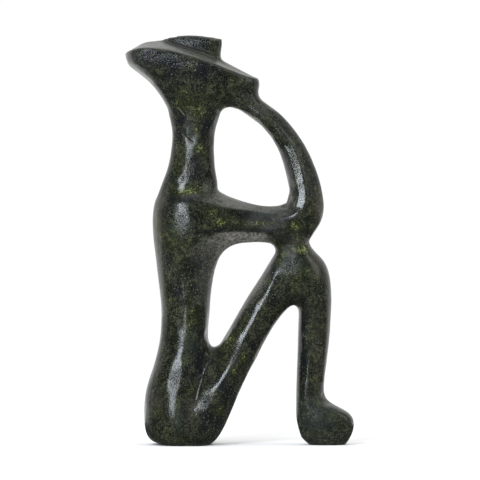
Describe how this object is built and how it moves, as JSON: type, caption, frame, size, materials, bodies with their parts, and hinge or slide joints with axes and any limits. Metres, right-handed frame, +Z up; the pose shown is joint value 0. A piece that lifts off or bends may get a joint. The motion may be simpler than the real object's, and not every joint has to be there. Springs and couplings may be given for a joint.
{
  "type": "seated cycladic figurine",
  "caption": "Stylised seated figure in the Cycladic manner, carved from one block of green stone: elbow on a raised knee, chin in the hand, and a bare face with a wedge nose turned up.",
  "frame": {"origin": "middle of the underside's bounding rectangle, on the plane that the figure rests on", "axes": "+Z up; the figure faces +X with its raised knee; Y runs from side to side, and the figure is the same on both sides"},
  "size_m": [0.1398, 0.0484, 0.25],
  "materials": {
    "green_stone": "polished and waxed dark green serpentine with yellow-green flecks"
  },
  "bodies": {
    "root": {"seated_figure": "green_stone"}
  },
  "joints": []
}
